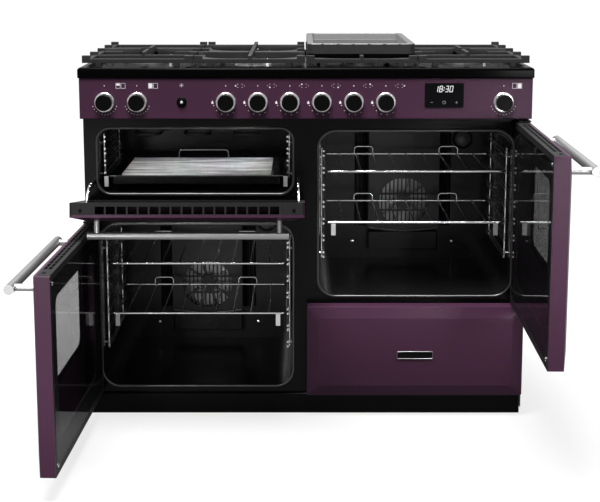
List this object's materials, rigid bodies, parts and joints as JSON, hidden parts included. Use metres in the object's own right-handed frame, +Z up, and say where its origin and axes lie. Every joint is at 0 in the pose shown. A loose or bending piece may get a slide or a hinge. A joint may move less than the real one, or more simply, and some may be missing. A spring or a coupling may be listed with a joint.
{
  "type": "range cooker",
  "caption": "Wide free-standing range cooker: gas hob with cast supports and griddle, fascia with knobs and clock, side-hung oven doors, drop-down grill door, storage drawer and plinth.",
  "frame": {"origin": "floor level, at mid-width, on the plane of the carcass front behind the doors", "axes": "+X to the right as seen from the front, +Y towards the wall, +Z up"},
  "size_m": [1.2506, 1.1314, 0.9313],
  "materials": {
    "plum_paint": "gloss enamel, dark plum",
    "black_enamel": "gloss black enamel",
    "liner_enamel": "satin dark grey enamel",
    "cavity_enamel": "speckled near-black vitreous enamel",
    "cast_iron": "matt black enamelled casting",
    "handle_steel": "brushed along the bar",
    "rack_chrome": "bright plated wire",
    "burner_alloy": "satin die-cast alloy",
    "door_glass": "tinted toughened glass",
    "control_black": "gloss black moulding",
    "seal_rubber": "matt black silicone",
    "zinc_sheet": "zinc plated sheet",
    "tap_brass": "turned brass",
    "element_steel": "heat-darkened sheath"
  },
  "bodies": {
    "carcass": {"back_panel": "zinc_sheet", "base_tray": "zinc_sheet", "burner_bodies": "burner_alloy", "burner_caps": "black_enamel", "cavity_seals": "seal_rubber", "centre_divider": "zinc_sheet", "control_gear": "tap_brass", "control_panel": "plum_paint", "display_module": "control_black", "drawer_runners": "zinc_sheet", "fan_covers": "cavity_enamel", "fan_motors": "zinc_sheet", "front_frame": "black_enamel", "grill_cavity": "cavity_enamel", "grill_element": "element_steel", "hinge_brackets": "zinc_sheet", "hob_plate": "black_enamel", "hob_trim": "black_enamel", "left_oven_cavity": "cavity_enamel", "levelling_feet": "zinc_sheet", "plinth": "black_enamel", "right_oven_cavity": "cavity_enamel", "shelf_ladders": "rack_chrome", "side_panels": "black_enamel"},
    "left_door": {"left_door_panel": "plum_paint", "left_door_liner": "liner_enamel", "left_door_glass": "door_glass", "left_door_handle": "handle_steel"},
    "right_door": {"right_door_panel": "plum_paint", "right_door_liner": "liner_enamel", "right_door_glass": "door_glass", "right_door_handle": "handle_steel"},
    "grill_door": {"grill_door_panel": "plum_paint", "grill_door_liner": "liner_enamel", "grill_door_handle": "handle_steel"},
    "drawer": {"drawer_front": "plum_paint", "drawer_box": "zinc_sheet"},
    "grill_pan": {"grill_pan": "cavity_enamel", "grill_trivet": "rack_chrome"},
    "left_oven_lower_rack": {"left_oven_lower_rack": "rack_chrome"},
    "left_oven_upper_rack": {"left_oven_upper_rack": "rack_chrome"},
    "right_oven_lower_rack": {"right_oven_lower_rack": "rack_chrome"},
    "right_oven_upper_rack": {"right_oven_upper_rack": "rack_chrome"},
    "burner_knob_1": {"burner_knob_1": "control_black"},
    "burner_knob_2": {"burner_knob_2": "control_black"},
    "burner_knob_3": {"burner_knob_3": "control_black"},
    "burner_knob_4": {"burner_knob_4": "control_black"},
    "burner_knob_5": {"burner_knob_5": "control_black"},
    "burner_knob_6": {"burner_knob_6": "control_black"},
    "pan_support_1": {"pan_support_1": "cast_iron"},
    "pan_support_2": {"pan_support_2": "cast_iron"},
    "pan_support_3": {"pan_support_3": "cast_iron"},
    "pan_support_4": {"pan_support_4": "cast_iron"},
    "grill_knob": {"grill_knob": "control_black"},
    "left_oven_knob": {"left_oven_knob": "control_black"},
    "right_oven_knob": {"right_oven_knob": "control_black"},
    "light_button": {"light_button": "control_black"},
    "left_fan": {"left_fan": "burner_alloy"},
    "right_fan": {"right_fan": "burner_alloy"},
    "griddle": {"griddle": "cast_iron"}
  },
  "joints": [
    {"name": "left_door_swing", "type": "hinge", "parent": "carcass", "child": "left_door", "pos_m": [-0.531, -0.026, 0.277], "axis": [0, 0, -1], "range_deg": [-92, 3]},
    {"name": "right_door_swing", "type": "hinge", "parent": "carcass", "child": "right_door", "pos_m": [0.531, -0.026, 0.5185], "axis": [0, 0, 1], "range_deg": [-89, 6]},
    {"name": "grill_door_drop", "type": "hinge", "parent": "carcass", "child": "grill_door", "pos_m": [-0.272, -0.032, 0.526], "axis": [1, 0, 0], "range_deg": [-80.5, 0]},
    {"name": "drawer_pull", "type": "slide", "parent": "carcass", "child": "drawer", "axis": [0, -1, 0], "range_m": [0, 0.36]},
    {"name": "grill_pan_slide", "type": "slide", "parent": "carcass", "child": "grill_pan", "axis": [0, -1, 0], "range_m": [0, 0.18]},
    {"name": "left_oven_lower_rack_slide", "type": "slide", "parent": "carcass", "child": "left_oven_lower_rack", "axis": [0, -1, 0], "range_m": [0, 0.2]},
    {"name": "left_oven_upper_rack_slide", "type": "slide", "parent": "carcass", "child": "left_oven_upper_rack", "axis": [0, -1, 0], "range_m": [0, 0.2]},
    {"name": "right_oven_lower_rack_slide", "type": "slide", "parent": "carcass", "child": "right_oven_lower_rack", "axis": [0, -1, 0], "range_m": [0, 0.2]},
    {"name": "right_oven_upper_rack_slide", "type": "slide", "parent": "carcass", "child": "right_oven_upper_rack", "axis": [0, -1, 0], "range_m": [0, 0.2]},
    {"name": "burner_knob_1_turn", "type": "hinge", "parent": "carcass", "child": "burner_knob_1", "pos_m": [-0.1925, -0.06, 0.797], "axis": [0, -1, 0], "range_deg": [0, 240]},
    {"name": "burner_knob_2_turn", "type": "hinge", "parent": "carcass", "child": "burner_knob_2", "pos_m": [-0.1155, -0.06, 0.797], "axis": [0, -1, 0], "range_deg": [0, 240]},
    {"name": "burner_knob_3_turn", "type": "hinge", "parent": "carcass", "child": "burner_knob_3", "pos_m": [-0.0385, -0.06, 0.797], "axis": [0, -1, 0], "range_deg": [0, 240]},
    {"name": "burner_knob_4_turn", "type": "hinge", "parent": "carcass", "child": "burner_knob_4", "pos_m": [0.0385, -0.06, 0.797], "axis": [0, -1, 0], "range_deg": [0, 240]},
    {"name": "burner_knob_5_turn", "type": "hinge", "parent": "carcass", "child": "burner_knob_5", "pos_m": [0.1155, -0.06, 0.797], "axis": [0, -1, 0], "range_deg": [0, 240]},
    {"name": "burner_knob_6_turn", "type": "hinge", "parent": "carcass", "child": "burner_knob_6", "pos_m": [0.1925, -0.06, 0.797], "axis": [0, -1, 0], "range_deg": [0, 240]},
    {"name": "grill_knob_turn", "type": "hinge", "parent": "carcass", "child": "grill_knob", "pos_m": [-0.4845, -0.06, 0.797], "axis": [0, 1, 0], "range_deg": [0, 270]},
    {"name": "left_oven_knob_turn", "type": "hinge", "parent": "carcass", "child": "left_oven_knob", "pos_m": [-0.4064, -0.06, 0.797], "axis": [0, 1, 0], "range_deg": [0, 270]},
    {"name": "right_oven_knob_turn", "type": "hinge", "parent": "carcass", "child": "right_oven_knob", "pos_m": [0.476, -0.06, 0.797], "axis": [0, 1, 0], "range_deg": [0, 270]},
    {"name": "light_button_press", "type": "slide", "parent": "carcass", "child": "light_button", "axis": [0, 1, 0], "range_m": [0, 0.003], "stiffness_N_per_m": 400},
    {"name": "left_fan_spin", "type": "hinge", "parent": "carcass", "child": "left_fan", "pos_m": [-0.272, 0.38, 0.24], "axis": [0, 1, 0], "continuous": true},
    {"name": "right_fan_spin", "type": "hinge", "parent": "carcass", "child": "right_fan", "pos_m": [0.272, 0.38, 0.474], "axis": [0, 1, 0], "continuous": true},
    {"name": "pan_support_1_lift", "type": "slide", "parent": "carcass", "child": "pan_support_1", "axis": [0, 0, 1], "range_m": [0, 0.15]},
    {"name": "pan_support_2_lift", "type": "slide", "parent": "carcass", "child": "pan_support_2", "axis": [0, 0, 1], "range_m": [0, 0.15]},
    {"name": "pan_support_3_lift", "type": "slide", "parent": "carcass", "child": "pan_support_3", "axis": [0, 0, 1], "range_m": [0, 0.15]},
    {"name": "pan_support_4_lift", "type": "slide", "parent": "carcass", "child": "pan_support_4", "axis": [0, 0, 1], "range_m": [0, 0.15]},
    {"name": "griddle_lift", "type": "slide", "parent": "pan_support_3", "child": "griddle", "axis": [0, 0, 1], "range_m": [0, 0.15]}
  ]
}
